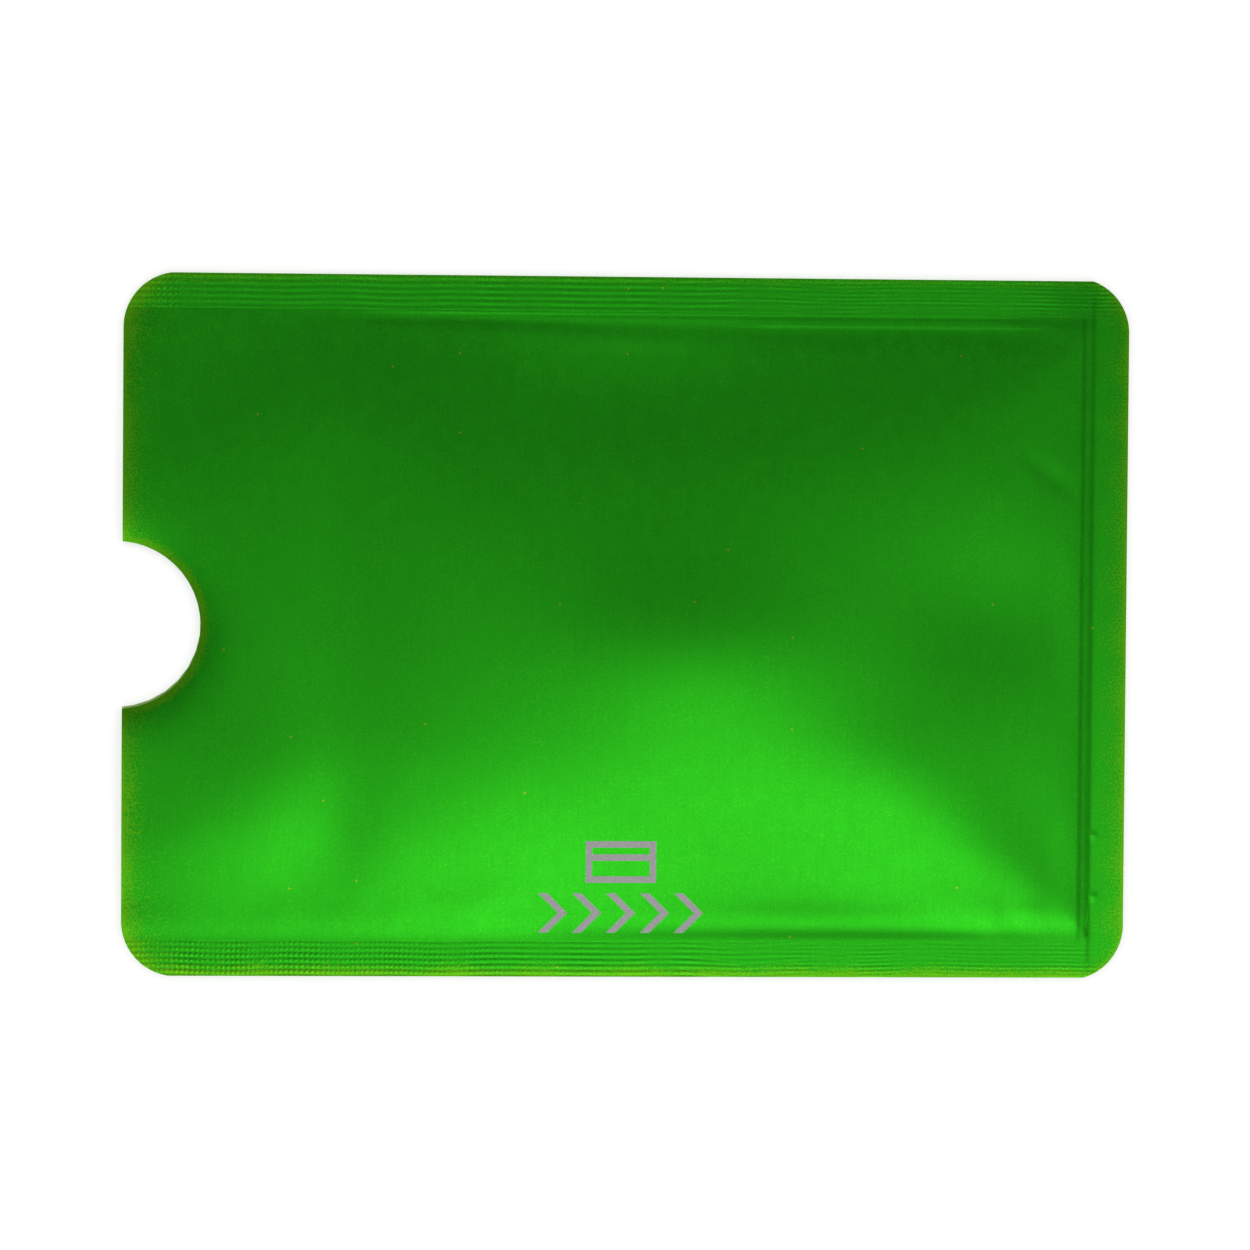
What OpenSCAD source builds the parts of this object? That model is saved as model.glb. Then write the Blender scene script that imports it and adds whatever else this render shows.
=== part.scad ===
// A flat foil sleeve for one payment card, lying on its back panel.
// X runs from the open mouth (-X) to the closed end (+X), Y across the sleeve, Z up through the front panel.
// The origin is the middle of the back panel's outer face.
// Each panel is three layers: a lacquered film outside, a metal foil, and a sealing film inside.
// The two sealing films are welded to each other along three edges.

/* [Card that the sleeve holds] */
// Length of the card
card_length = 85.6; // [80:0.1:100]
// Width of the card
card_width = 54; // [48:0.1:70]

/* [Room around the card] */
// Free width on each side of the card
side_play = 1.45; // [0.8:0.05:4]
// Free length between the card and the closed end's weld
end_play = 1.1; // [0.5:0.05:4]
// How far the mouth reaches past the card
mouth_margin = 1.05; // [0:0.05:6]

/* [Welded seams] */
// Width of the two long seams
seam_width = 3.25; // [2:0.05:6]
// Width of the closed end's seam
end_seam_width = 3.25; // [2:0.05:6]

/* [Cut outline] */
// Radius of the four cut corners
corner_radius = 5; // [2:0.1:9]
// How far the corner die reaches past the upper edge at the mouth, which leaves a slight kink there
mouth_upper_overrun = 0.14; // [0:0.01:0.8]
// The same at the lower edge and the mouth
mouth_lower_overrun = 0.1; // [0:0.01:0.8]
// The same at the upper edge and the closed end
closed_upper_overrun = 0.41; // [0:0.01:0.8]
// The same at the lower edge and the closed end
closed_lower_overrun = 0.14; // [0:0.01:0.8]
// Radius of the thumb notch
notch_radius = 7.5; // [5:0.1:12]
// How far the notch's centre lies outside the mouth edge
notch_setback = 0.4; // [0:0.05:2]
// How far the front panel's notch lies from the middle, towards the upper seam
front_notch_shift = 0.1; // [-0.6:0.01:0.6]
// The same for the back panel's notch
back_notch_shift = 0.3; // [-0.6:0.01:0.6]

/* [Layers] */
// Thickness of the lacquered outer film
film_thickness = 0.04; // [0.02:0.005:0.15]
// Thickness of the metal foil
foil_thickness = 0.02; // [0.01:0.005:0.08]
// Thickness of the inner sealing film
sealing_thickness = 0.1; // [0.04:0.005:0.3]
// Thickness of the melted layer between the panels along the seams
weld_thickness = 0.04; // [0.02:0.005:0.15]
// Thickness of the printed ink
ink_thickness = 0.02; // [0.01:0.005:0.06]

/* [Puffed front panel] */
// Slope of the panel's rise from the upper seam
upper_slope = 0.04; // [0.01:0.001:0.12]
// Slope of its rise from the lower seam
lower_slope = 0.063; // [0.01:0.001:0.12]
// Slope of its rise from the closed end's weld
end_slope = 0.042; // [0.01:0.001:0.12]
// Length over which the rise from the closed end eases off
end_reach = 22; // [8:0.5:40]
// Height of the open mouth beside its notch
mouth_height = 0.22; // [0.05:0.01:1.5]
// Slope of the panel's rise away from the mouth
mouth_slope = 0.006; // [0:0.001:0.03]
// What the pillowed middle gains on the mouth
pillow_rise = 0.4; // [0:0.05:1.5]
// How far the panel is turned down around the notch
lip_drop = 0.2; // [0:0.01:0.4]

/* [Printed mark] */
// Length of the row of arrow heads
mark_length = 15; // [10:0.5:24]
// Number of arrow heads in the row
arrow_count = 5; // [2:1:7]
// Height of one arrow head across the sleeve
arrow_height = 3.6; // [2:0.1:6]
// Length of the card sign above the row
sign_length = 6.4; // [4:0.1:12]
// Height of the card sign
sign_height = 3.8; // [3:0.1:6]
// Gap between the row and the card sign
sign_gap = 0.95; // [0.4:0.05:3]
// Distance from the lower seam to the row
mark_gap = 0.75; // [0.3:0.05:6]
// How far the mark lies from the sleeve's middle, towards the mouth
mark_shift = 0.4; // [0:0.1:5]
// Width of the mark's lines
mark_line = 0.6; // [0.3:0.05:0.9]

/* [Hidden] */

sleeve_length = mouth_margin + card_length + end_play + end_seam_width;
sleeve_width = card_width + 2 * (side_play + seam_width);
mouth_x = -sleeve_length / 2;
notch_x = mouth_x - notch_setback;
weld_x = sleeve_length / 2 - end_seam_width;
weld_y = sleeve_width / 2 - seam_width;

// Heights of the stack along the seams, from the table up
back_foil_z = film_thickness;
back_sealing_z = back_foil_z + foil_thickness;
weld_z = back_sealing_z + sealing_thickness;
front_sealing_z = weld_z + weld_thickness;
front_foil_z = front_sealing_z + sealing_thickness;
front_film_z = front_foil_z + foil_thickness;
ink_z = front_film_z + film_thickness;

// Width along X of an arrow head's stroke, and how far its tip lies ahead of its ends
arrow_stroke = mark_line * sqrt(2);
arrow_reach = arrow_height / 2;

// The soft start of a long flank, which keeps it level beside its weld: a length that holds everywhere,
// and then a place along the sleeve, a spread and the length that is added there
upper_softness = [4, [1, 14, 5]];
lower_softness = [2, [11, 13, 8], [-36, 12, 5]];

// How much steeper the closed end's flank is for each mm towards the lower seam
end_twist = 0.0006;
// How much higher the mouth is for each mm towards the lower seam
mouth_twist = 0.006;
// Where the pillowed middle starts, from the sleeve's middle, and the length over which it rises
pillow_start = -28;
pillow_length = 20;
// Length over which the turned-down lip fades away from the notch
lip_reach = 1.8;
// Distance from the welds over which the dents and humps fade in
wave_margin = 4;

// Dents and humps left by handling: place along X, place along Y, spread along X, spread along Y,
// turn in degrees, height
waves = [
    [33, 2, 8, 7, 0, -0.15],
    [6, -2, 11, 7, 0, 0.2],
    [1, 21.5, 10, 6, 0, -0.04],
    [-26, -18, 4.5, 5, 0, -0.10],
    [-33, -14, 5, 5, 0, 0.05],
    [24, -13, 6, 5, 0, 0.06],
    [-14, -25.5, 4, 2.5, 20, 0.04],
    [30, -25.5, 4, 2.5, -20, 0.04],
    [-47, -18, 6, 7, 0, -0.14],
    [13, -20, 8, 5, 0, -0.07],
    [16, -24.5, 8, 2.5, 0, -0.03],
    [36, -18, 4, 6, 0, -0.06],
    [-28, -22, 4, 4, 0, -0.05],
    [1, -13, 5, 3, 0, -0.03],
    [-18, -16, 4, 4, 0, -0.03]
];

lacquer_green = [0.1, 0.55, 0.08];
foil_silver = [0.8, 0.81, 0.82];
sealing_grey = [0.72, 0.74, 0.72];
ink_grey = [0.65, 0.65, 0.65];

// Power of the mean that joins the flanks: the higher, the sharper the ridges between them
ridge_power = 4;
// Smallest height of a flank, which keeps the power mean finite on the welds
least_rise = 0.000001;
// Number of facets along the pocket and across it
steps_x = 34;
steps_y = 24;
// How far the layers' blanks and cutters run past the cut outline
cut_margin = 1;
$fn = 96;

// 0 at 0 and 1 at 1, level at both ends
function ease(t) = let (s = min(1, max(0, t))) s * s * (3 - 2 * s);

// 1 at 0, and falling off like a bell on both sides
function hump(t) = exp(-t * t);

function sum(list, i = 0) = i >= len(list) ? 0 : list[i] + sum(list, i + 1);

// Soft start of a long flank at a place along the sleeve
function softness_at(softness, x) =
    let (added = [for (i = [1:len(softness) - 1]) let (s = softness[i]) s[2] * hump((x - s[0]) / s[1])])
    softness[0] + sum(added);

// Height of a flank at a distance from its weld: level at first, and then rising at its slope
function flank(distance, slope, soft_start) = slope * distance * distance / (distance + soft_start);

// The flanks joined into one panel: about the lowest of them, with rounded ridges between
function joined(flanks) =
    pow(sum([for (f = flanks) pow(max(f, least_rise), -ridge_power)]), -1 / ridge_power);

// Height of one dent or hump at a point
function wave_at(w, x, y) =
    let (along = (x - w[0]) * cos(w[4]) + (y - w[1]) * sin(w[4]),
         across = (y - w[1]) * cos(w[4]) - (x - w[0]) * sin(w[4]))
    w[5] * hump(along / w[2]) * hump(across / w[3]);

// Height of the front panel inside the welds, above its place on them
function pillow(x, y, from_weld) =
    let (
        upper = flank(weld_y - y, upper_slope, softness_at(upper_softness, x)),
        lower = flank(weld_y + y, lower_slope, softness_at(lower_softness, x)),
        closed = (end_slope - end_twist * y) * end_reach * (1 - exp((x - weld_x) / end_reach)),
        mouth = mouth_height + mouth_slope * (x - mouth_x) - mouth_twist * y
            + pillow_rise * ease((x - pillow_start) / pillow_length),
        handling = ease(from_weld / wave_margin) * sum([for (w = waves) wave_at(w, x, y)]),
        from_notch = max(0, norm([x - notch_x, y - front_notch_shift]) - notch_radius)
    )
    max(0, joined([upper, lower, closed, mouth]) + handling - lip_drop * exp(-from_notch / lip_reach));

// The same anywhere: nothing on the seams and past them
function puff(x, y) =
    let (from_weld = min(weld_y - abs(y), weld_x - x))
    from_weld <= 0 ? 0 : pillow(x, y, from_weld);

// Grid lines of the front panel: one past each edge, and even steps over the pocket
grid_x = concat(
    [mouth_x - cut_margin],
    [for (i = [0:steps_x]) mouth_x + (weld_x - mouth_x) * i / steps_x],
    [sleeve_length / 2 + cut_margin]
);
grid_y = concat(
    [-sleeve_width / 2 - cut_margin],
    [for (i = [0:steps_y]) -weld_y + 2 * weld_y * i / steps_y],
    [sleeve_width / 2 + cut_margin]
);
crown_height = max([for (x = grid_x, y = grid_y) puff(x, y)]);

// A sheet that follows the puffed panel, from one height to another on the seams
module puffed_sheet(low, high) {
    nx = len(grid_x);
    ny = len(grid_y);
    function at(level, i, j) = (level * nx + i) * ny + j;
    points = [
        for (z = [low, high], x = grid_x, y = grid_y) [x, y, z + puff(x, y)]
    ];
    skins = [
        for (i = [0:nx - 2], j = [0:ny - 2]) each [
            [at(1, i, j), at(1, i, j + 1), at(1, i + 1, j + 1)],
            [at(1, i, j), at(1, i + 1, j + 1), at(1, i + 1, j)],
            [at(0, i, j), at(0, i + 1, j + 1), at(0, i, j + 1)],
            [at(0, i, j), at(0, i + 1, j), at(0, i + 1, j + 1)]
        ]
    ];
    ends = [
        for (j = [0:ny - 2]) each [
            [at(0, 0, j), at(0, 0, j + 1), at(1, 0, j + 1), at(1, 0, j)],
            [at(0, nx - 1, j), at(1, nx - 1, j), at(1, nx - 1, j + 1), at(0, nx - 1, j + 1)]
        ]
    ];
    sides = [
        for (i = [0:nx - 2]) each [
            [at(0, i, 0), at(1, i, 0), at(1, i + 1, 0), at(0, i + 1, 0)],
            [at(0, i, ny - 1), at(0, i + 1, ny - 1), at(1, i + 1, ny - 1), at(1, i, ny - 1)]
        ]
    ];
    polyhedron(points, concat(skins, ends, sides));
}

// What the corner die takes off one corner, which lies at the origin with the sleeve on its -X -Y side
module corner_waste(overrun) {
    translate([-corner_radius, overrun - corner_radius]) difference() {
        square(corner_radius + cut_margin);
        circle(corner_radius);
    }
}

// Outline of one panel, with its thumb notch moved towards the upper seam by shift
module panel_outline(shift) {
    difference() {
        square([sleeve_length, sleeve_width], center = true);
        translate([mouth_x, sleeve_width / 2]) scale([-1, 1]) corner_waste(mouth_upper_overrun);
        translate([mouth_x, -sleeve_width / 2]) scale([-1, -1]) corner_waste(mouth_lower_overrun);
        translate([-mouth_x, sleeve_width / 2]) corner_waste(closed_upper_overrun);
        translate([-mouth_x, -sleeve_width / 2]) scale([1, -1]) corner_waste(closed_lower_overrun);
        translate([notch_x, shift]) circle(notch_radius);
    }
}

// One flat layer of the back panel
module back_layer(z, thickness) {
    translate([0, 0, z]) linear_extrude(thickness) panel_outline(back_notch_shift);
}

// One puffed layer of the front panel
module front_layer(z, thickness) {
    intersection() {
        puffed_sheet(z, z + thickness);
        linear_extrude(z + thickness + crown_height + cut_margin) panel_outline(front_notch_shift);
    }
}

// The part of the melted layer that lies under one strip of the outline
module weld_strip() {
    translate([0, 0, weld_z]) linear_extrude(weld_thickness)
        intersection() {
            panel_outline(back_notch_shift);
            children();
        }
}

module long_seam(side) {
    weld_strip()
        translate([0, side * (weld_y + sleeve_width / 2)])
            square([sleeve_length, sleeve_width], center = true);
}

// A plain sign of a card: its outline, and a stripe one line's width below its upper edge
module card_sign() {
    difference() {
        square([sign_length, sign_height]);
        translate([mark_line, mark_line])
            square([sign_length - 2 * mark_line, sign_height - 2 * mark_line]);
    }
    translate([0, sign_height - 3 * mark_line]) square([sign_length, mark_line]);
}

// One arrow head of two strokes at 45 degrees, which points along +X
module arrow_head() {
    polygon([
        [0, 0], [arrow_stroke, 0], [arrow_stroke + arrow_reach, arrow_height / 2],
        [arrow_stroke, arrow_height], [0, arrow_height], [arrow_reach, arrow_height / 2]
    ]);
}

// The way in for the card: a row of arrow heads, with the card sign above its middle
module mark_outline() {
    pitch = (mark_length - arrow_stroke - arrow_reach) / (arrow_count - 1);
    translate([-mark_shift, -weld_y + mark_gap]) {
        for (i = [0:arrow_count - 1]) translate([i * pitch - mark_length / 2, 0]) arrow_head();
        translate([-sign_length / 2, arrow_height + sign_gap]) card_sign();
    }
}

module back_lacquered_film() { color(lacquer_green) back_layer(0, film_thickness); }
module back_foil() { color(foil_silver) back_layer(back_foil_z, foil_thickness); }
module back_sealing_film() { color(sealing_grey) back_layer(back_sealing_z, sealing_thickness); }
module upper_seam_weld() { color(sealing_grey) long_seam(1); }
module lower_seam_weld() { color(sealing_grey) long_seam(-1); }
module end_seam_weld() {
    color(sealing_grey) weld_strip()
        translate([weld_x, -weld_y]) square([end_seam_width, 2 * weld_y]);
}
module front_sealing_film() { color(sealing_grey) front_layer(front_sealing_z, sealing_thickness); }
module front_foil() { color(foil_silver) front_layer(front_foil_z, foil_thickness); }
module front_lacquered_film() { color(lacquer_green) front_layer(front_film_z, film_thickness); }
module printed_mark() {
    color(ink_grey) intersection() {
        puffed_sheet(ink_z, ink_z + ink_thickness);
        linear_extrude(ink_z + crown_height + cut_margin) mark_outline();
    }
}

back_lacquered_film();
back_foil();
back_sealing_film();
upper_seam_weld();
lower_seam_weld();
end_seam_weld();
front_sealing_film();
front_foil();
front_lacquered_film();
printed_mark();
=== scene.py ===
# %% [markdown]
# # A foil sleeve for one card
# The sleeve is two panels of thin laminate, welded to each other along three edges.
# Each panel is a green lacquered film outside, a metal foil, and a pale film inside that melts in the seams.
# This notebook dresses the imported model: every layer is made again as a thin closed sheet on a grid,
# with the puffed shape, knurled seams and cut edges of the real one.

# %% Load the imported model
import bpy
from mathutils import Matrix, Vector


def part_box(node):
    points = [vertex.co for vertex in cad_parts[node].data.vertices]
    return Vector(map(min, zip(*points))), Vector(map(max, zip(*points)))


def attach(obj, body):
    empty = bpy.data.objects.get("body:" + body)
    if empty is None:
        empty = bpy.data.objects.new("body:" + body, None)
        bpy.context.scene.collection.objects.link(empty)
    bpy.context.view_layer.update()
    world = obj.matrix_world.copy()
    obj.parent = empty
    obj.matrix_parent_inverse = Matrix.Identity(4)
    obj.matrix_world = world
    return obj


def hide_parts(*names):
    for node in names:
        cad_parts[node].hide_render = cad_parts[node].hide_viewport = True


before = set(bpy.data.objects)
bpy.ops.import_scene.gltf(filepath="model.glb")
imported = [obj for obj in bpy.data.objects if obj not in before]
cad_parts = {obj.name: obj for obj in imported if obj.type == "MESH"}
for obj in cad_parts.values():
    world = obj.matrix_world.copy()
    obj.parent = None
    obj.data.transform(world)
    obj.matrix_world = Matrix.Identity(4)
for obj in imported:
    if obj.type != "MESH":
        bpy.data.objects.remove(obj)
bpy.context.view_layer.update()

# %% [markdown]
# Lengths are written in millimetres, as a maker would measure them, and become metres in the meshes.
# The sleeve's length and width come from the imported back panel, so the sheets lie where the CAD says.
# The laminate's layers follow each other without a space, from the back film up to the print.

# %% Sizes of the sleeve
import math

import bpy
import numpy as np
from mathutils import Matrix, Vector

MM = 0.001
low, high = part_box("back_lacquered_film")
HALF_LENGTH = (high.x - low.x) / 2 / MM
HALF_WIDTH = (high.y - low.y) / 2 / MM
SEAM = 3.25
MOUTH_X = -HALF_LENGTH
WELD_X = HALF_LENGTH - SEAM
WELD_Y = HALF_WIDTH - SEAM
CORNER_RADIUS = 5.0
NOTCH_RADIUS, NOTCH_SETBACK = 7.55, 0.53
NOTCH_X = MOUTH_X - NOTCH_SETBACK
FRONT_NOTCH_Y = -0.04
BACK_NOTCH_Y = 0.13
LAYERS = {
    "back_lacquered_film": (0.0, 0.04),
    "back_foil": (0.04, 0.06),
    "back_sealing_film": (0.06, 0.16),
    "seam_weld": (0.16, 0.20),
    "front_sealing_film": (0.20, 0.30),
    "front_foil": (0.30, 0.32),
    "front_lacquered_film": (0.32, 0.36),
    "printed_mark": (0.36, 0.38),
}
print("pocket in mm:", round(WELD_X - MOUTH_X, 2), "x", round(2 * WELD_Y, 2))

# %% [markdown]
# A sheet is a grid of points with an upper and a lower height at each. Its faces, underside and rim are
# all worked out from whole arrays of point numbers. Cells can be left out, which cuts a hole with its own
# rim. The rim's edges are marked sharp, so the broad faces shade smoothly right up to the cut.

# %% Closed sheets from grids
SHARP_ANGLE = math.radians(50)


def sheet_faces(keep, first):
    """Quads of one sheet. Point numbers run row by row, first the upper side and then the lower side.
    A wall stands on each cell edge that has a kept cell on one side only."""
    nu, nv = keep.shape[0] + 1, keep.shape[1] + 1
    number = np.arange(nu * nv).reshape(nu, nv) + first
    a, b = number[:-1, :-1], number[1:, :-1]
    c, d = number[1:, 1:], number[:-1, 1:]
    upper = np.stack([a, b, c, d], -1)[keep]
    lower = upper[:, ::-1] + nu * nv
    padded = np.pad(keep, 1)
    walls = []
    for shift_u, shift_v, start, end in ((0, -1, a, b), (1, 0, b, c), (0, 1, c, d), (-1, 0, d, a)):
        beyond = padded[1 + shift_u:nu + shift_u, 1 + shift_v:nv + shift_v]
        rim = keep & ~beyond
        s, e = start[rim], end[rim]
        walls.append(np.stack([s, s + nu * nv, e + nu * nv, e], -1))
    return np.concatenate([upper, lower, *walls])


def make_piece(name, sheets, finish, node, marks=None):
    """Makes one object from a list of sheets (x, y, lower height, upper height, kept cells), in
    millimetres. marks gives attributes by name, each with its value at every point of the first sheet."""
    points, faces = [], []
    count = 0
    for x, y, under, over, keep in sheets:
        keep = np.ones((x.shape[0] - 1, x.shape[1] - 1), bool) if keep is None else keep
        faces.append(sheet_faces(keep, count))
        for height in (over, under):
            z = np.broadcast_to(height, x.shape)
            points.append(np.stack([x, y, z], -1).reshape(-1, 3))
        count += 2 * x.size
    points, faces = np.concatenate(points) * MM, np.concatenate(faces)
    used = np.unique(faces)
    renumber = np.zeros(count, int)
    renumber[used] = np.arange(len(used))
    mesh = bpy.data.meshes.new(name)
    mesh.vertices.add(len(used))
    mesh.vertices.foreach_set("co", points[used].ravel())
    mesh.loops.add(faces.size)
    mesh.loops.foreach_set("vertex_index", renumber[faces].ravel())
    mesh.polygons.add(len(faces))
    mesh.polygons.foreach_set("loop_start", np.arange(len(faces)) * 4)
    mesh.update(calc_edges=True)
    mesh.polygons.foreach_set("use_smooth", np.ones(len(faces), bool))
    mesh.set_sharp_from_angle(angle=SHARP_ANGLE)
    for mark, value in (marks or {}).items():
        both_sides = np.tile(value.ravel(), 2)[used]
        mesh.attributes.new(mark, "FLOAT", "POINT").data.foreach_set("value", both_sides.astype(np.float32))
    mesh.validate()
    mesh.materials.append(finish)
    piece = bpy.data.objects.new(name, mesh)
    bpy.context.scene.collection.objects.link(piece)
    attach(piece, "root")
    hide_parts(node)
    print(name, len(used), "points", 2 * len(faces), "triangles, top at", round(points[:, 2].max() / MM, 3))


def lines(*runs):
    """Grid lines: each run (start, end, step) is divided evenly into steps no longer than step."""
    parts = [np.linspace(a, b, math.ceil((b - a) / step) + 1) for a, b, step in runs]
    return np.unique(np.round(np.concatenate(parts), 6))


# %% [markdown]
# The strip of laminate is slit to width first, and a die then rounds the corners and punches the notch.
# The die sits a little differently at each corner, which leaves a slight kink where its arc runs out
# past the slit edge. So a row of the grid runs from one cut edge to the other, and both ends follow
# from the row's place across the sleeve.

# %% The cut outline
DIE_OVERRUN = {"mouth upper": 0.05, "closed upper": 0.3, "closed lower": 0.2, "mouth lower": 0.06}
NOTCH_ROW_COUNT = 45


def corner_inset(y, end):
    """How far a corner's arc draws the end edge in: the radius less the arc's reach at that row."""
    over = np.where(y > 0, DIE_OVERRUN[end + " upper"], DIE_OVERRUN[end + " lower"])
    rise = np.maximum(np.abs(y) - (HALF_WIDTH + over - CORNER_RADIUS), 0)
    return CORNER_RADIUS - np.sqrt(CORNER_RADIUS ** 2 - rise ** 2)


def mouth_edge(y, notch_y):
    """x of the mouth edge: the corner arcs, and the notch's circle where it reaches further in."""
    straight = MOUTH_X + corner_inset(y, "mouth")
    bite = np.sqrt(np.maximum(NOTCH_RADIUS ** 2 - (y - notch_y) ** 2, 0))
    return np.where(NOTCH_X + bite > straight, NOTCH_X + bite, straight)


def closed_edge(y):
    """x of the closed end's edge."""
    return HALF_LENGTH - corner_inset(y, "closed")


def fit_rows(columns, rows, left, right, reach):
    """Grid points whose rows start at left(y) and end at right(y). A column closer than reach to an end
    is drawn in with it, in proportion, and the ones between stay straight."""
    x, y = np.meshgrid(columns, rows, indexing="ij")
    near_left = np.clip(1 - (x - columns[0]) / reach, 0, 1)
    near_right = np.clip(1 - (columns[-1] - x) / reach, 0, 1)
    return x + (left(y) - columns[0]) * near_left + (right(y) - columns[-1]) * near_right, y


def notch_rows(notch_y):
    """Rows across the notch, even by angle, so that they crowd where its circle meets the mouth edge."""
    half = math.asin(math.sqrt(NOTCH_RADIUS ** 2 - NOTCH_SETBACK ** 2) / NOTCH_RADIUS)
    return notch_y + NOTCH_RADIUS * np.sin(np.linspace(-half, half, NOTCH_ROW_COUNT))


notch_depth, notch_width = NOTCH_RADIUS - NOTCH_SETBACK, np.ptp(notch_rows(FRONT_NOTCH_Y))
print("notch in mm:", round(notch_depth, 2), "deep and", round(notch_width, 2), "wide")

# %% [markdown]
# An empty sleeve doesn't lie flat. The front panel stands off the back one like a low tent with four
# flanks: one from each seam, and one from the open mouth. The lowest flank wins at each point, and
# a power mean rounds the ridges between them. Handling adds dents and puckers. Just inside the welds,
# where the heated film shrank, the panel has grooves along the long seams, a bead or a second line
# beyond them, and two shallow steps at the closed end.

# %% Curves that the shapes are made from
def ease(t):
    """0 at 0 and 1 at 1, level at both ends."""
    t = np.clip(t, 0, 1)
    return t * t * (3 - 2 * t)


def fade(t, start, end):
    """0 at start and 1 at end, level beyond both. start may be the larger of the two."""
    return ease((t - start) / (end - start))


def hump(t):
    """1 at 0, and falling off like a bell on both sides."""
    return np.exp(-t ** 2)


def bell(x, y, place_x, place_y, spread_x, spread_y, turn, rise):
    """A bell-shaped rise with its own lengths along two axes, turned by an angle in degrees."""
    c, s = math.cos(math.radians(turn)), math.sin(math.radians(turn))
    along = (x - place_x) * c + (y - place_y) * s
    across = (y - place_y) * c - (x - place_x) * s
    return rise * hump(along / spread_x) * hump(across / spread_y)


# %% Sizes of the puffed front panel
FLANK_UPPER, SOFT_UPPER = 0.040, 4.0
FLANK_LOWER, SOFT_LOWER, TIGHT_LOWER = 0.063, 2.0, 0.8
FLANK_CLOSED, CLOSED_TWIST, CLOSED_REACH = 0.040, 0.0004, 22.0
MOUTH_HEIGHT, FLANK_MOUTH, MOUTH_TWIST, PILLOW_RISE = 0.22, 0.006, 0.006, 0.40
# Where a long flank is softer: place along X, spread along X, added softness
SLACK_UPPER = ((-1, 13, 9), (-44, 12, 8))
SLACK_LOWER = ((13, 14, 12), (-36, 12, 5))
RIDGE_POWER = 4
LEAST_FLANK, LEAST_DISTANCE = 1e-6, 1e-4
LIP_DROP, LIP_REACH = 0.19, 1.6
WAVE_MARGIN = 4
GROOVE_DEPTH, GROOVE_WIDTH = 0.02, 1.2
NARROW_GROOVE, WIDENING = 0.7, 0.9
FOLD_WIDTH, FOLD_SHARE = 0.25, 0.3
BEAD = 0.03
CREASE = 0.007
SHOULDER, SHOULDER_REACH, FIRST_STEP, SECOND_STEP = 0.013, 7, 0.3, 0.7
WAVES = (
    # place along X, place along Y, spread along X, spread along Y, turn in degrees, height
    (33, 2, 8, 7, 0, -0.15),
    (6, -2, 11, 7, 0, 0.2),
    (1, 21.5, 11, 5, 0, -0.07),
    (-38, 21, 8, 5, 0, -0.05),
    (-26, -18, 4.5, 5, 0, -0.10),
    (-33, -14, 5, 5, 0, 0.05),
    (24, -13, 6, 5, 0, 0.06),
    (-14, -25.5, 4, 2.5, 20, 0.04),
    (30, -25.5, 4, 2.5, -20, 0.04),
    (-47, -20, 6, 7, 0, -0.17),
    (13, -20, 8, 5, 0, -0.07),
    (20, -24.5, 11, 3, 0, -0.04),
    (36, -18, 4, 6, 0, -0.06),
    (39.5, -22, 3, 4, 0, -0.04),
    (-28, -22, 4, 4, 0, -0.05),
    (4, -20, 14, 4, 0, 0.03),
    (-18, -16, 4, 4, 0, -0.03),
    (38.5, 14, 3.2, 0.9, -35, -0.02),
    (-31, -26.6, 1.8, 1.6, 10, 0.02),
    (-20.5, -26.6, 1.6, 1.6, -10, 0.02),
    (-13, -26.4, 1.6, 1.8, 0, 0.02),
    (33.2, -28, 1.2, 2.6, 0, 0.08),
    (37, -26.3, 1.4, 1.3, 0, 0.05),
    (36, 24.1, 0.22, 0.5, 15, -0.008),
    (36.1, 21.8, 0.4, 0.35, 0, 0.006),
    (17.6, 12.4, 0.4, 0.35, 0, 0.005),
)


# %% The puffed front panel
def slack(x, spots):
    """How much softer a long flank is along X: the sum of the spots' bells."""
    return sum(amount * hump((x - place) / spread) for place, spread, amount in spots)


def tent(x, y, from_upper, from_lower, from_closed):
    """The four flanks' power mean, which keeps close to the lowest. A long flank's height is its slope
    times distance squared over distance plus softness, so it leaves its weld level and then straightens.
    The closed end's flank levels off over its reach, and the mouth's is a slope with an eased rise."""
    upper = FLANK_UPPER * from_upper ** 2 / (from_upper + SOFT_UPPER + slack(x, SLACK_UPPER))
    softness = SOFT_LOWER - TIGHT_LOWER * fade(x, 25, 35) + slack(x, SLACK_LOWER)
    lower = FLANK_LOWER * from_lower ** 2 / (from_lower + softness)
    closed = (FLANK_CLOSED - CLOSED_TWIST * y) * CLOSED_REACH * (1 - np.exp(-from_closed / CLOSED_REACH))
    mouth = MOUTH_HEIGHT + FLANK_MOUTH * (x - MOUTH_X) + PILLOW_RISE * fade(x, -28, -8) - MOUTH_TWIST * y
    powers = sum(np.maximum(side, LEAST_FLANK) ** -RIDGE_POWER for side in (upper, lower, closed, mouth))
    return powers ** (-1 / RIDGE_POWER)


def handling(x, y):
    """The dents and humps together. They fade out towards the welds."""
    from_nearest = np.minimum(WELD_Y - np.abs(y), WELD_X - x)
    return ease(from_nearest / WAVE_MARGIN) * sum(bell(x, y, *wave) for wave in WAVES)


def groove(inward, width):
    """The dip beside a weld: deepest at width inside it."""
    t = np.maximum(inward, 0) / width
    return -GROOVE_DEPTH * t * t * np.exp(1 - t * t)


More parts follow.
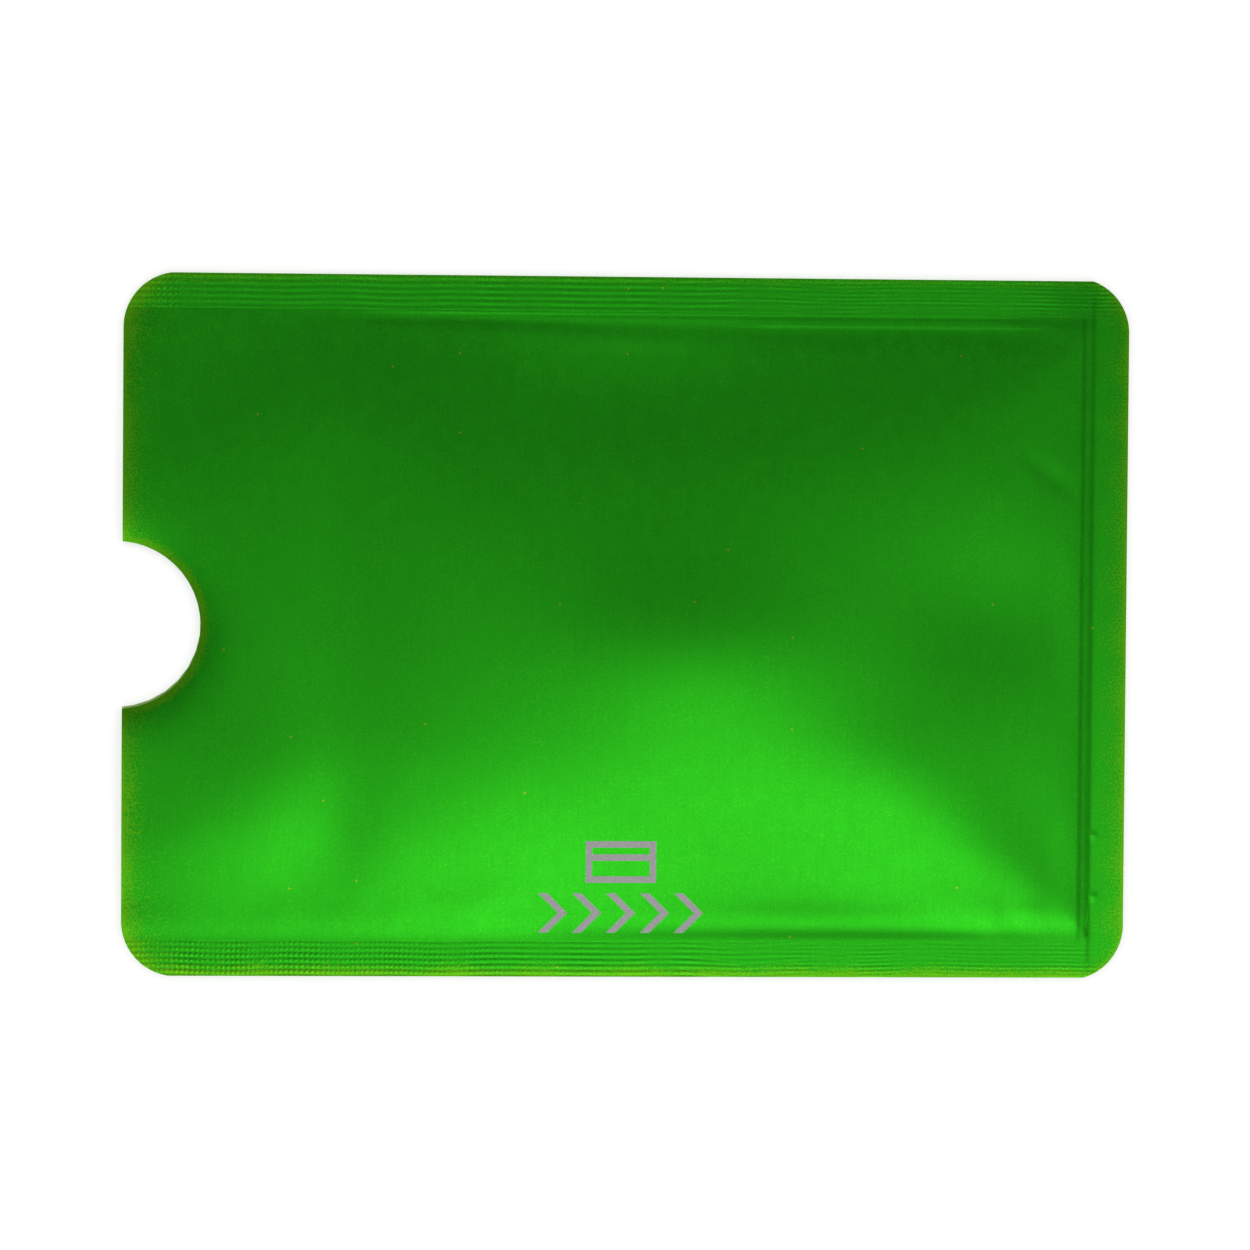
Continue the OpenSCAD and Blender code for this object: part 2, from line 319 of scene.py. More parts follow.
def beside_upper(x, from_upper):
    """Past the notch a groove that widens towards the closed end, with a narrow fold at its foot. Beyond
    the sleeve's middle a low crease runs along it too, about a millimetre in from the weld."""
    past_notch = fade(x, -30, -15) * fade(x, 39, 33)
    grooves = groove(from_upper, NARROW_GROOVE + WIDENING * fade(x, -20, 20))
    fold = FOLD_SHARE * groove(from_upper, FOLD_WIDTH)
    second_line = ease(from_upper) * fade(from_upper, 1.3, 0.95) * fade(x, 8, 14) * fade(x, 40, 35)
    return (grooves + fold) * past_notch + CREASE * second_line


def beside_lower(x, from_lower):
    """A groove that deepens towards the closed end, and towards the mouth a bead in its place."""
    bead = BEAD * (1 - hump(from_lower / GROOVE_WIDTH)) * fade(x, -2, -12)
    return groove(from_lower, GROOVE_WIDTH) * (0.9 + 0.9 * np.tanh(x / 12)) + bead


def beside_closed(from_upper, from_lower, from_closed):
    """Two shallow steps up from the end weld, which sink back over their reach and before the corners."""
    steps = 1 - hump(from_closed / FIRST_STEP) + SECOND_STEP * fade(from_closed, 0.6, 1.1)
    before_corners = ease(np.minimum(from_upper, from_lower) / GROOVE_WIDTH)
    return SHOULDER * steps * hump(from_closed / SHOULDER_REACH) * before_corners


def puff(x, y):
    """Height of the front panel above its place on the seams: the tent and the handling, less the
    notch's turned-down lip, plus the relief beside each weld. On the seams themselves it is 0."""
    from_upper, from_lower, from_closed = (
        np.maximum(distance, LEAST_DISTANCE) for distance in (WELD_Y - y, WELD_Y + y, WELD_X - x))
    from_notch = np.maximum(np.hypot(x - NOTCH_X, y - FRONT_NOTCH_Y) - NOTCH_RADIUS, 0)
    height = tent(x, y, from_upper, from_lower, from_closed) + handling(x, y)
    height = height - LIP_DROP * np.exp(-from_notch / LIP_REACH)
    height = height + beside_upper(x, from_upper) + beside_lower(x, from_lower)
    height = height + beside_closed(from_upper, from_lower, from_closed)
    on_seam = (np.abs(y) >= WELD_Y) | (x >= WELD_X)
    return np.where(on_seam, 0, height)


sample = np.meshgrid(np.arange(MOUTH_X, WELD_X), np.arange(-WELD_Y, WELD_Y), indexing="ij")
print("crown in mm above the seams:", round(float(puff(*sample).max()), 2))

# %% [markdown]
# The sealing jaws are knurled. Their ribs run along the seams, and towards the mouth a second set of
# notches breaks the ribs into rows of dots. The relief is only thousandths of a millimetre deep, but a
# metallic lacquer shows it clearly, so it is real geometry here. Sums of a few sines with seeded phases
# let the rows waver, as they do where the film crept under the jaws.

# %% Knurl
RIB_HEIGHT = 0.004
DOT_PITCH = 0.45
FINE_PITCH = 0.37
FINE_SHARE = 0.6
DOTTED_SHARE = 0.85


def waver(t, length, seed):
    """A smooth line between about -1 and 1: the sum of six sines of about one length, over 2.5."""
    draw = np.random.default_rng(seed)
    parts = [np.sin(2 * np.pi * (t * (0.5 + draw.random()) / length + draw.random())) for _ in range(6)]
    return sum(parts) / 2.5


def knurl(along, outward, pitch, phase, dotted_length, seed):
    """Relief at a distance outward from a weld: ribs at an even pitch, which the notches break into dots
    over a length from the mouth, and finer, fainter ribs past the middle."""
    row = (outward - phase) / pitch + 0.1 * waver(along, 13, seed)
    column = along / DOT_PITCH + 0.25 * waver(along, 7, seed + 2) + 0.1 * waver(outward, 2, seed + 3)
    ribs = np.sin(2 * np.pi * row)
    dots = 0.8 * (ribs + 1) * (1 + np.cos(2 * np.pi * column)) - 0.8
    dotted = DOTTED_SHARE * fade(along - MOUTH_X, 2 * dotted_length, dotted_length)
    coarse = (dots * dotted + ribs * (1 - dotted)) * (0.85 + 0.25 * waver(along, 5, seed + 1))
    fine = np.sin(2 * np.pi * (outward / FINE_PITCH + 0.25 * waver(along, 16, seed + 4)))
    fine = fine * (0.5 + 0.3 * waver(along, 8, seed + 5) + 0.2 * waver(outward, 1.5, seed + 6))
    past_middle = fade(along, -5, 20)
    return RIB_HEIGHT * (coarse * (1 - 0.8 * past_middle) + FINE_SHARE * fine * past_middle)


print("ribs in mm:", 2 * RIB_HEIGHT, "from valley to crest")

# %% [markdown]
# ## Finishes
# Every finish is worked out from the piece's own coordinates, so it stays with the surface when the
# piece is turned. A small helper adds a node and fills its inputs with numbers or with other sockets.

# %% Helpers for finishes
NOISE_RANGE = (0.3, 0.7)


def add_node(tree, kind, inputs=None, **settings):
    """A node with its settings and inputs: a socket is linked, anything else is its value."""
    node = tree.nodes.new(kind)
    for name, value in settings.items():
        setattr(node, name, value)
    for name, value in (inputs or {}).items():
        if isinstance(value, bpy.types.NodeSocket):
            tree.links.new(value, node.inputs[name])
        else:
            node.inputs[name].default_value = value
    return node


def new_finish(name):
    """An empty material with its surface coordinates and a Principled shader."""
    finish = bpy.data.materials.new(name)
    finish.use_nodes = True
    tree = finish.node_tree
    tree.nodes.clear()
    place = add_node(tree, "ShaderNodeTexCoord").outputs["Object"]
    shader = add_node(tree, "ShaderNodeBsdfPrincipled")
    add_node(tree, "ShaderNodeOutputMaterial", {"Surface": shader.outputs["BSDF"]})
    return finish, tree, place, shader


def noise(tree, place, scale, detail=2.0, stretch=None):
    """Noise with features of about 1/scale metres, drawn out along an axis by stretch."""
    if stretch:
        place = add_node(tree, "ShaderNodeMapping", {"Vector": place, "Scale": stretch}).outputs["Vector"]
    texture = add_node(tree, "ShaderNodeTexNoise", {"Vector": place, "Scale": scale, "Detail": detail})
    return texture.outputs["Fac"]


def ramp(tree, value, start, end, low=0.0, high=1.0, **settings):
    """value carried from the range start to end into the range low to high, and held at both ends."""
    return add_node(tree, "ShaderNodeMapRange", {
        "Value": value, "From Min": start, "From Max": end, "To Min": low, "To Max": high,
    }, **settings).outputs["Result"]


def math_node(tree, operation, a, b):
    """Two values joined by an operation such as ADD or MULTIPLY."""
    return add_node(tree, "ShaderNodeMath", {0: a, 1: b}, operation=operation).outputs[0]


def stored(tree, mark):
    """A value that make_piece stored on the mesh, and 0 where it stored none."""
    return add_node(tree, "ShaderNodeAttribute", attribute_name=mark).outputs["Fac"]


def blend_colour(tree, share, a, b):
    """Colour a where share is 0 and colour b where it is 1."""
    mix = add_node(tree, "ShaderNodeMix", data_type="RGBA")
    for index, value in ((0, share), (6, a), (7, b)):
        if isinstance(value, bpy.types.NodeSocket):
            tree.links.new(value, mix.inputs[index])
        else:
            mix.inputs[index].default_value = value
    return mix.outputs[2]


# %% [markdown]
# The green film is a clear lacquer over bright metal, so it is a metallic colour with a broad gloss.
# Fine streaks run across the sleeve, the way the laminate was rolled. Along the cuts the lacquer is
# rubbed and speckled with olive and yellow, and the ribs' crests are olive too, partly wear and partly
# painted highlight. Two lines beside the end weld are darkened with painted shade, for the creases there.
# The mesh stores how far each point is rubbed, pressed or in that painted crease shade.

# %% Green lacquered film
DEEP_GREEN, BRIGHT_GREEN = (0.027, 0.54, 0.014, 1), (0.034, 0.67, 0.017, 1)
CREASE_SHADE_GREEN, CREASE_SHADE_SHARE = (0.01, 0.2, 0.006, 1), 0.35
OLIVE, DUST_YELLOW = (0.18, 0.69, 0.012, 1), (0.42, 0.6, 0.02, 1)
GRAIN_SCALE, MOTTLE_SCALE, DUST_SCALE = 6000, 900, 330.0
GRAIN_BUMP = 0.0000012


def film_colour(tree, place, grain, streak):
    """Green from grain and streaks, darkened with painted shade in the two crease lines, olive where rubbed
    and as painted highlight on the ribs' crests, with specks of dust.
    """
    tone = math_node(tree, "ADD", ramp(tree, grain, *NOISE_RANGE, 0.0, 0.8),
                     ramp(tree, streak, *NOISE_RANGE, 0.0, 0.2))
    green = blend_colour(tree, tone, DEEP_GREEN, BRIGHT_GREEN)
    # Painted shade: the two crease lines beside the end weld are darkened towards a deep green.
    line = math_node(tree, "MULTIPLY", stored(tree, "painted_crease_shade"), CREASE_SHADE_SHARE)
    green = blend_colour(tree, line, green, CREASE_SHADE_GREEN)
    # Olive for wear along the cuts, and on the ribs' crests partly painted highlight.
    wear_and_highlight = math_node(tree, "ADD", noise(tree, place, GRAIN_SCALE, 3.0), stored(tree, "rubbed"))
    olive = blend_colour(tree, ramp(tree, wear_and_highlight, 0.86, 1.14), green, OLIVE)
    cells = add_node(tree, "ShaderNodeTexVoronoi", {"Vector": place, "Scale": DUST_SCALE},
                     voronoi_dimensions="2D")
    pick = add_node(tree, "ShaderNodeSeparateColor", {"Color": cells.outputs["Color"]}).outputs["Red"]
    few_cells = ramp(tree, pick, 0.94, 0.95)
    dust = math_node(tree, "MULTIPLY", ramp(tree, cells.outputs["Distance"], 0.04, 0.02), few_cells)
    return blend_colour(tree, dust, olive, DUST_YELLOW)


def lacquered_film():
    """The green metallic finish. It is a little duller where the jaws pressed it."""
    finish, tree, place, shader = new_finish("lacquered_film")
    grain = noise(tree, place, GRAIN_SCALE, 3.0)
    streak = noise(tree, place, 1, stretch=(3400, 250, 250))
    tree.links.new(film_colour(tree, place, grain, streak), shader.inputs["Base Color"])
    shader.inputs["Metallic"].default_value = 1.0
    mottle = ramp(tree, noise(tree, place, MOTTLE_SCALE), *NOISE_RANGE, 0.29, 0.31)
    duller = math_node(tree, "MULTIPLY", stored(tree, "pressed"), 0.05)
    tree.links.new(math_node(tree, "ADD", mottle, duller), shader.inputs["Roughness"])
    height = math_node(tree, "ADD", grain, math_node(tree, "MULTIPLY", streak, 0.6))
    bump = add_node(tree, "ShaderNodeBump", {"Strength": 1.0, "Distance": GRAIN_BUMP, "Height": height})
    tree.links.new(bump.outputs["Normal"], shader.inputs["Normal"])
    return finish


FILM = lacquered_film()
print("finish", FILM.name, "has", len(FILM.node_tree.nodes), "nodes")

# %% [markdown]
# The other layers show only at the cuts and inside the mouth: rolled foil, the pale film that melts,
# and the melted seam itself, which is a little glassier. The ink is a thin matt layer on the film.

# %% Foil, sealing film, weld and ink
def plain_finish(name, dark, light, rough, grain_size, stretch=None, metallic=0.0, bump_depth=0.000002):
    """Two close tones mixed by fine noise, with the same noise in the roughness and the bump."""
    finish, tree, place, shader = new_finish(name)
    grain = noise(tree, place, 1 if stretch else 1 / grain_size, stretch=stretch)
    tone = blend_colour(tree, ramp(tree, grain, *NOISE_RANGE), dark, light)
    tree.links.new(tone, shader.inputs["Base Color"])
    shader.inputs["Metallic"].default_value = metallic
    gloss = ramp(tree, grain, *NOISE_RANGE, rough - 0.05, rough + 0.05)
    tree.links.new(gloss, shader.inputs["Roughness"])
    bump = add_node(tree, "ShaderNodeBump", {"Strength": 1.0, "Distance": bump_depth, "Height": grain})
    tree.links.new(bump.outputs["Normal"], shader.inputs["Normal"])
    return finish


FOIL = plain_finish("foil", (0.72, 0.73, 0.75, 1), (0.86, 0.87, 0.88, 1), 0.35, 0.0003,
                    stretch=(400, 3000, 400), metallic=1.0)
SEALING = plain_finish("sealing_film", (0.32, 0.5, 0.13, 1), (0.4, 0.6, 0.18, 1), 0.45, 0.0004)
WELD = plain_finish("seam_weld", (0.48, 0.53, 0.47, 1), (0.56, 0.61, 0.54, 1), 0.3, 0.0006)
INK = plain_finish("printed_ink", (0.31, 0.31, 0.31, 1), (0.39, 0.39, 0.39, 1), 0.5, 0.0002)
print("finishes", [finish.name for finish in (FOIL, SEALING, WELD, INK)])

# %% [markdown]
# The lacquer is rubbed along every cut. Along the mouth, the closed end and the slit edges this falls off
# over two or three millimetres, and round the notch over about one.

# %% Where the lacquer is rubbed
def rubbed(x, y, notch_y):
    """0 on sound lacquer and up to 1 where it is rubbed: the largest of the falls from each cut."""
    from_mouth = x - MOUTH_X - corner_inset(y, "mouth")
    from_closed = np.maximum(closed_edge(y) - x, 0)
    from_notch = np.maximum(np.hypot(x - NOTCH_X, y - notch_y) - NOTCH_RADIUS, 0)
    from_corner = np.hypot(x - MOUTH_X, np.abs(y) - HALF_WIDTH)
    mouth_wear = (0.44 + 0.05 * waver(y, 9, 3)) * np.exp(-from_mouth / 1.3)
    at_mouth = 0.23 + mouth_wear + 0.07 * hump(from_corner / 6)
    at_closed = 0.46 + 0.03 * waver(y, 7, 4) - 0.08 * from_closed + 0.26 * np.exp(-from_closed / 0.3)
    at_notch = 0.64 - 0.27 * (from_notch / 0.8) ** 2
    at_upper = 0.46 + 0.06 * fade(x, -25, -40) - 0.2 * (HALF_WIDTH - y)
    at_lower = 0.66 + 0.04 * waver(x, 8, 5) - 0.3 * (HALF_WIDTH + y)
    return np.clip(np.maximum.reduce([at_mouth, at_closed, at_notch, at_upper, at_lower]), 0, 1)


# %% [markdown]
# The sealing jaws left the film a little duller. Two lines beside the closed end's weld, where the end
# jaw's edge creased the film, are darkened with painted shade.

# %% Where the jaws pressed, and the painted crease shade
def from_weld(x, y):
    """Distance out from the pocket's edge, in a seam."""
    return np.maximum(np.abs(y) - WELD_Y, x - WELD_X)


def pressed(x, y):
    """How much duller the film is: 1 where the jaws pressed it, less towards the closed end."""
    return ease(from_weld(x, y) / 0.2) * fade(x, 42, 34)


def painted_crease_shade(x, y):
    """1 in the two lines of painted shade beside the end weld, where the end jaw's edge creased the film: the
    outer one runs on into the long seams.
    """
    outer = hump((x - WELD_X - 0.03) / 0.2) * ease((HALF_WIDTH - 0.8 - np.abs(y)) / 1.5)
    inner = hump((x - WELD_X + 0.85) / 0.22) * ease((WELD_Y + 0.2 - np.abs(y)) / 0.8)
    return np.maximum(inner, 0.9 * outer)


# %% [markdown]
# ## The front panel
# The pocket's grid is finest beside the welds and round the notch, where the film bends sharply, and
# close at the few small puckers. The hidden layers under it have a coarser grid of the same shape.

# %% Front panel: pocket
PANEL_REACH = 22


def at_weld(y):
    """x of the closed end's weld, the same in every row."""
    return WELD_X + 0 * y


def pocket_grid(notch_y, every=1):
    """Grid of the pocket, between the welds, from the mouth to the closed end's weld."""
    columns = lines((MOUTH_X, -43.5, 0.25), (-43.5, -36, 0.4), (-36, 17, 0.6), (17, 18.2, 0.13),
                    (18.2, 35.4, 0.6), (35.4, 36.7, 0.13), (36.7, 41, 0.3), (41, WELD_X, 0.07))
    edge = notch_rows(notch_y)
    rows = np.concatenate([
        lines((-WELD_Y, -25, 0.14), (-25, -20, 0.3), (-20, edge[0], 0.45))[:-1],
        edge,
        lines((edge[-1], 12, 0.45), (12, 12.8, 0.13), (12.8, 21.3, 0.5), (21.3, 22.3, 0.13),
              (22.3, 23.4, 0.3), (23.4, 24.8, 0.16), (24.8, 27, 0.15), (27, WELD_Y, 0.08))[1:],
    ])
    if every > 1:
        columns = columns[np.unique(np.r_[0:len(columns):every, len(columns) - 1])]
        rows = rows[np.unique(np.r_[0:len(rows):every, len(rows) - 1])]
    return fit_rows(columns, rows, lambda y: mouth_edge(y, notch_y), at_weld, PANEL_REACH)


x, y = pocket_grid(FRONT_NOTCH_Y)
under, over = LAYERS["front_lacquered_film"]
make_piece("front_film_pocket", [(x, y, puff(x, y) + under, puff(x, y) + over, None)],
           FILM, "front_lacquered_film",
           # The last mark is painted shade in the two crease lines beside the end weld.
           {"rubbed": rubbed(x, y, FRONT_NOTCH_Y), "painted_crease_shade": painted_crease_shade(x, y)})


# %% [markdown]
# Each seam is a band of its own, with a grid fine enough for the knurl. Past its inner edge the end jaw
# pressed the film deeper, also in the ends of the long seams.

# %% Relief of the seams
JAW_DEPTH, JAW_EDGE = 0.006, 0.22
WEAVE_SHARE, WEAVE_X, WEAVE_Y = 0.2, 0.4, 0.45


def end_jaw(x):
    """How much deeper the end jaw pressed the film, past its own inner edge."""
    return JAW_DEPTH * (1 + np.tanh((x - WELD_X) / JAW_EDGE))


def upper_relief(x, y, seed):
    """Height of the upper seam's relief, which grows stronger away from the mouth."""
    strength = 1.0 + 0.4 * fade(x, -25, 10)
    return strength * knurl(x, y - WELD_Y, 0.55, 0.1, 5, seed) - end_jaw(x) * ease((HALF_WIDTH - y) / 2)


def lower_relief(x, y, seed):
    """Height of the lower seam's relief, stronger in its outer half, with a wrinkle near the mouth."""
    outward = -WELD_Y - y
    strength = (1.1 + 0.9 * fade(outward, 0.6, 1.4)) * (1 - 0.2 * fade(x, -5, 20))
    wrinkle = bell(x, y, -32.9, -30.3, 0.8, 0.15, 42, 0.007) + bell(x, y, -34.5, -29.6, 0.6, 0.25, 0, 0.006)
    ribs = strength * knurl(x, outward, 0.51, 0.17, 25, seed)
    return wrinkle + ribs - end_jaw(x) * ease((HALF_WIDTH + y) / 2)


def end_relief(x, y, seed):
    """Height of the closed end's relief, a faint weave with two blisters beside the weld."""
    blisters = bell(x, y, 42.7, -18.7, 0.25, 0.3, 0, 0.018) + bell(x, y, 42.75, -24.3, 0.3, 0.35, 0, 0.02)
    weave = np.sin(2 * np.pi * x / WEAVE_X) + np.sin(2 * np.pi * y / WEAVE_Y + waver(x, 3, seed))
    return blisters - end_jaw(x) + WEAVE_SHARE * RIB_HEIGHT * weave


def seam_relief(x, y, relief, seed):
    """A seam's relief, which fades out where it meets the pocket."""
    return relief(x, y, seed) * ease(from_weld(x, y) / 0.1)


def crest_wear_and_highlight(x, y, height):
    """How much more olive the ribs' crests are, partly wear and partly painted highlight on their tops:
    towards the mouth, and mostly on the lower half.
    """
    return (0.05 + 0.08 * (y < 0)) * np.clip(height / RIB_HEIGHT, 0, 1) * fade(x, -10, -35)


# %% Front panel: knurled seams
BAND_REACH, END_BAND_REACH = 12, 3


def long_band(side, step_x=0.09, step_y=0.07):
    """Grid of a long seam: side is 1 for the upper one and -1 for the lower one."""
    rows = lines((WELD_Y, HALF_WIDTH, step_y))
    rows = rows if side > 0 else -rows[::-1]
    columns = lines((MOUTH_X, 0, step_x), (0, 40, 2 * step_x), (40, HALF_LENGTH, 1.3 * step_x))
    return fit_rows(columns, rows, lambda y: mouth_edge(y, FRONT_NOTCH_Y), closed_edge, BAND_REACH)


def end_band(step_x=0.14, step_y=0.16):
    """Grid of the closed end's seam, between the long ones."""
    return fit_rows(lines((WELD_X, HALF_LENGTH, step_x)), lines((-WELD_Y, WELD_Y, step_y)),
                    at_weld, closed_edge, END_BAND_REACH)


# Each seam's grid, relief and seed
BANDS = {
    "upper_seam": (lambda *steps: long_band(1, *steps), upper_relief, 11),
    "lower_seam": (lambda *steps: long_band(-1, *steps), lower_relief, 21),
    "end_seam": (end_band, end_relief, 31),
}
for band, (grid, relief, seed) in BANDS.items():
    x, y = grid()
    height = seam_relief(x, y, relief, seed)
    marks = {
        # The crests' extra olive is partly wear and partly painted highlight on their tops.
        "rubbed": rubbed(x, y, FRONT_NOTCH_Y) + crest_wear_and_highlight(x, y, height),
        "pressed": pressed(x, y),
        # Painted shade in the two crease lines beside the end weld.
        "painted_crease_shade": painted_crease_shade(x, y),
    }
    make_piece("front_film_" + band, [(x, y, under, over + height, None)],
               FILM, "front_lacquered_film", marks)

# %% [markdown]
# The foil and the pale inner film follow the same shape just under the lacquered film. A hair's breadth
# is left between the sheets, so that no two faces lie in one plane.

# %% Front panel: foil and sealing film
GAP = 0.001
INNER_FINISHES = {"foil": FOIL, "sealing_film": SEALING}


def whole_grid(notch_y):
    """Grid of a whole panel, seams included: coarser than the pocket's, with a few lines over the seams."""
    columns = lines((MOUTH_X, -43.5, 0.5), (-43.5, -36, 0.8), (-36, 34, 1.0), (34, 38, 0.8),
                    (38, WELD_X, 0.32), (WELD_X, HALF_LENGTH, 0.4))
    edge = notch_rows(notch_y)[::2]
    rows = np.concatenate([
        lines((-HALF_WIDTH, -WELD_Y, 0.2), (-WELD_Y, -25, 0.28), (-25, -20, 0.6), (-20, edge[0], 0.9))[:-1],
        edge,
        lines((edge[-1], 20, 0.9), (20, 25, 0.7), (25, WELD_Y, 0.28), (WELD_Y, HALF_WIDTH, 0.2))[1:],
    ])
    return fit_rows(columns, rows, lambda y: mouth_edge(y, notch_y), closed_edge, PANEL_REACH)


x, y = whole_grid(FRONT_NOTCH_Y)
for slot, finish in INNER_FINISHES.items():
    node = "front_" + slot
    under, over = LAYERS[node]
    make_piece(node + "_sheet", [(x, y, puff(x, y) + under + GAP, puff(x, y) + over - GAP, None)],
               finish, node)

# %% [markdown]
# ## The back panel
# The back panel lies flat. Its notch sits a little off the front one, so a thin crescent of its pale
# inner film shows there. Its seams are knurled on the outside, which faces down.

# %% Back panel
BACK_PRESSED = 0.004

x, y = whole_grid(BACK_NOTCH_Y)
for slot, finish in INNER_FINISHES.items():
    node = "back_" + slot
    under, over = LAYERS[node]
    make_piece(node + "_sheet", [(x, y, under + GAP, over - GAP, None)], finish, node)

under, over = LAYERS["back_lacquered_film"]
x, y = pocket_grid(BACK_NOTCH_Y, every=3)
make_piece("back_film_pocket", [(x, y, under, over, None)],
           FILM, "back_lacquered_film", {"rubbed": rubbed(x, y, BACK_NOTCH_Y)})
for band, (grid, relief, seed) in BANDS.items():
    x, y = grid(0.25, 0.11)
    depth = BACK_PRESSED + seam_relief(x, y, relief, seed + 50)
    make_piece("back_film_" + band, [(x, y, under + np.maximum(depth, 0), over, None)],
               FILM, "back_lacquered_film",
               {"rubbed": rubbed(x, y, BACK_NOTCH_Y), "pressed": pressed(x, y)})

# %% [markdown]
# ## Welds
# The melted layer fills the space between the two pale films along the three seams.

# %% Welds
under, over = LAYERS["seam_weld"]
WELD_GRIDS = {
    "upper_seam_weld": long_band(1, 0.5, 0.25),
    "lower_seam_weld": long_band(-1, 0.5, 0.25),
    "end_seam_weld": end_band(0.4, 0.5),
}
for node, (x, y) in WELD_GRIDS.items():
    make_piece(node + "_layer", [(x, y, under - GAP, over + GAP, None)], WELD, node)

# %% [markdown]
# ## Printed mark
# Near the lower seam the sleeve carries a plain sign of the way in: a row of arrow heads, and above it
# the outline of a card with its stripe. The ink follows the puffed film.

# %% Printed mark
MARK_LENGTH, ARROW_COUNT, ARROW_HEIGHT = 15.0, 5, 3.6
SIGN_LENGTH, SIGN_HEIGHT, SIGN_GAP = 6.4, 3.8, 0.95
MARK_GAP, MARK_SHIFT, MARK_LINE = 0.75, 0.4, 0.6
ARROW_STROKE, ARROW_REACH = MARK_LINE * math.sqrt(2), ARROW_HEIGHT / 2
MARK_Y = -WELD_Y + MARK_GAP
INK_LOW, INK_HIGH = LAYERS["printed_mark"]


def ink(x, y, keep=None):
    """A sheet of ink on the puffed film."""
    return x, y, puff(x, y) + INK_LOW - GAP, puff(x, y) + INK_HIGH, keep


def arrow_head(start_x):
    """A stroke of even width whose middle leads its ends: it moves on by as much as the row is in from
    the nearer end."""
    across, up = np.meshgrid(np.linspace(0, ARROW_STROKE, 5), np.linspace(0, ARROW_HEIGHT, 25), indexing="ij")
    lead = np.minimum(up, ARROW_HEIGHT - up)
    return ink(start_x + lead + across, MARK_Y + up)


def card_sign():
    """The card's outline and stripe: every cell of a grid, apart from those inside the two windows."""
    line = MARK_LINE
    stripe_low, stripe_high = SIGN_HEIGHT - 3 * line, SIGN_HEIGHT - 2 * line
    columns = lines((0, line, 0.2), (line, SIGN_LENGTH - line, 0.25), (SIGN_LENGTH - line, SIGN_LENGTH, 0.2))
    rows = lines((0, line, 0.2), (line, stripe_low, 0.2), (stripe_low, stripe_high, 0.2),
                 (stripe_high, SIGN_HEIGHT - line, 0.2), (SIGN_HEIGHT - line, SIGN_HEIGHT, 0.2))
    middle_x = (columns[1:] + columns[:-1]) / 2
    middle_y = (rows[1:] + rows[:-1]) / 2
    between = (middle_x > line) & (middle_x < SIGN_LENGTH - line)
    lower_window = (middle_y > line) & (middle_y < stripe_low)
    upper_window = (middle_y > stripe_high) & (middle_y < SIGN_HEIGHT - line)
    x, y = np.meshgrid(columns, rows, indexing="ij")
    keep = ~(between[:, None] & (lower_window | upper_window)[None, :])
    return ink(x - MARK_SHIFT - SIGN_LENGTH / 2, y + MARK_Y + ARROW_HEIGHT + SIGN_GAP, keep)


arrow_pitch = (MARK_LENGTH - ARROW_STROKE - ARROW_REACH) / (ARROW_COUNT - 1)
first_arrow = -MARK_SHIFT - MARK_LENGTH / 2
arrows = [arrow_head(first_arrow + i * arrow_pitch) for i in range(ARROW_COUNT)]
make_piece("printed_mark_ink", arrows + [card_sign()], INK, "printed_mark")

# %% [markdown]
# ## Stage, light and camera
# The sleeve lies on a plain white floor. The floor adds a little light of its own for the camera and for
# reflections, and keeps the sleeve's shadow.

# %% Floor
FLOOR_SIZE, FLOOR_DROP = 14.0, 0.00002
FLOOR_TONE, FLOOR_GLOW = 0.6, 0.5

half = FLOOR_SIZE / 2
corners = [(x, y, -FLOOR_DROP) for x, y in ((-half, -half), (half, -half), (half, half), (-half, half))]
floor_mesh = bpy.data.meshes.new("floor")
floor_mesh.from_pydata(corners, [], [(0, 1, 2, 3)])
floor = bpy.data.objects.new("floor", floor_mesh)
bpy.context.scene.collection.objects.link(floor)
paper = bpy.data.materials.new("floor_paper")
paper.use_nodes = True
tree = paper.node_tree
tree.nodes.clear()
path = add_node(tree, "ShaderNodeLightPath")
seen = math_node(tree, "MAXIMUM", path.outputs["Is Camera Ray"], path.outputs["Is Glossy Ray"])
seen = math_node(tree, "MAXIMUM", seen, path.outputs["Is Transmission Ray"])
matt = add_node(tree, "ShaderNodeBsdfDiffuse", {"Color": (FLOOR_TONE, FLOOR_TONE, FLOOR_TONE, 1)})
strength = math_node(tree, "MULTIPLY", seen, FLOOR_GLOW)
glow = add_node(tree, "ShaderNodeEmission", {"Color": (1, 1, 1, 1), "Strength": strength})
both = add_node(tree, "ShaderNodeAddShader", {0: matt.outputs[0], 1: glow.outputs[0]})
add_node(tree, "ShaderNodeOutputMaterial", {"Surface": both.outputs[0]})
floor_mesh.materials.append(paper)
print("floor in metres:", FLOOR_SIZE, "square")

# %% [markdown]
# One large softbox hangs towards the lower edge, and the world is dark overhead and pale at the horizon,
# so that each flank of the panel gets its own tone.

# %% World
HORIZON_GLOW, ZENITH_GLOW = 1.27, 0.075
PALE_FROM, DARK_TO = (math.cos(math.radians(angle)) for angle in (50, 24))

world = bpy.data.worlds.new("studio")
bpy.context.scene.world = world
world.use_nodes = True
tree = world.node_tree
tree.nodes.clear()
direction = add_node(tree, "ShaderNodeTexCoord").outputs["Generated"]
upward = add_node(tree, "ShaderNodeSeparateXYZ", {"Vector": direction}).outputs["Z"]
dome = ramp(tree, upward, PALE_FROM, DARK_TO, HORIZON_GLOW, ZENITH_GLOW, interpolation_type="SMOOTHSTEP")
backdrop = add_node(tree, "ShaderNodeBackground", {"Color": (1, 1, 1, 1), "Strength": dome})
add_node(tree, "ShaderNodeOutputWorld", {"Surface": backdrop.outputs[0]})


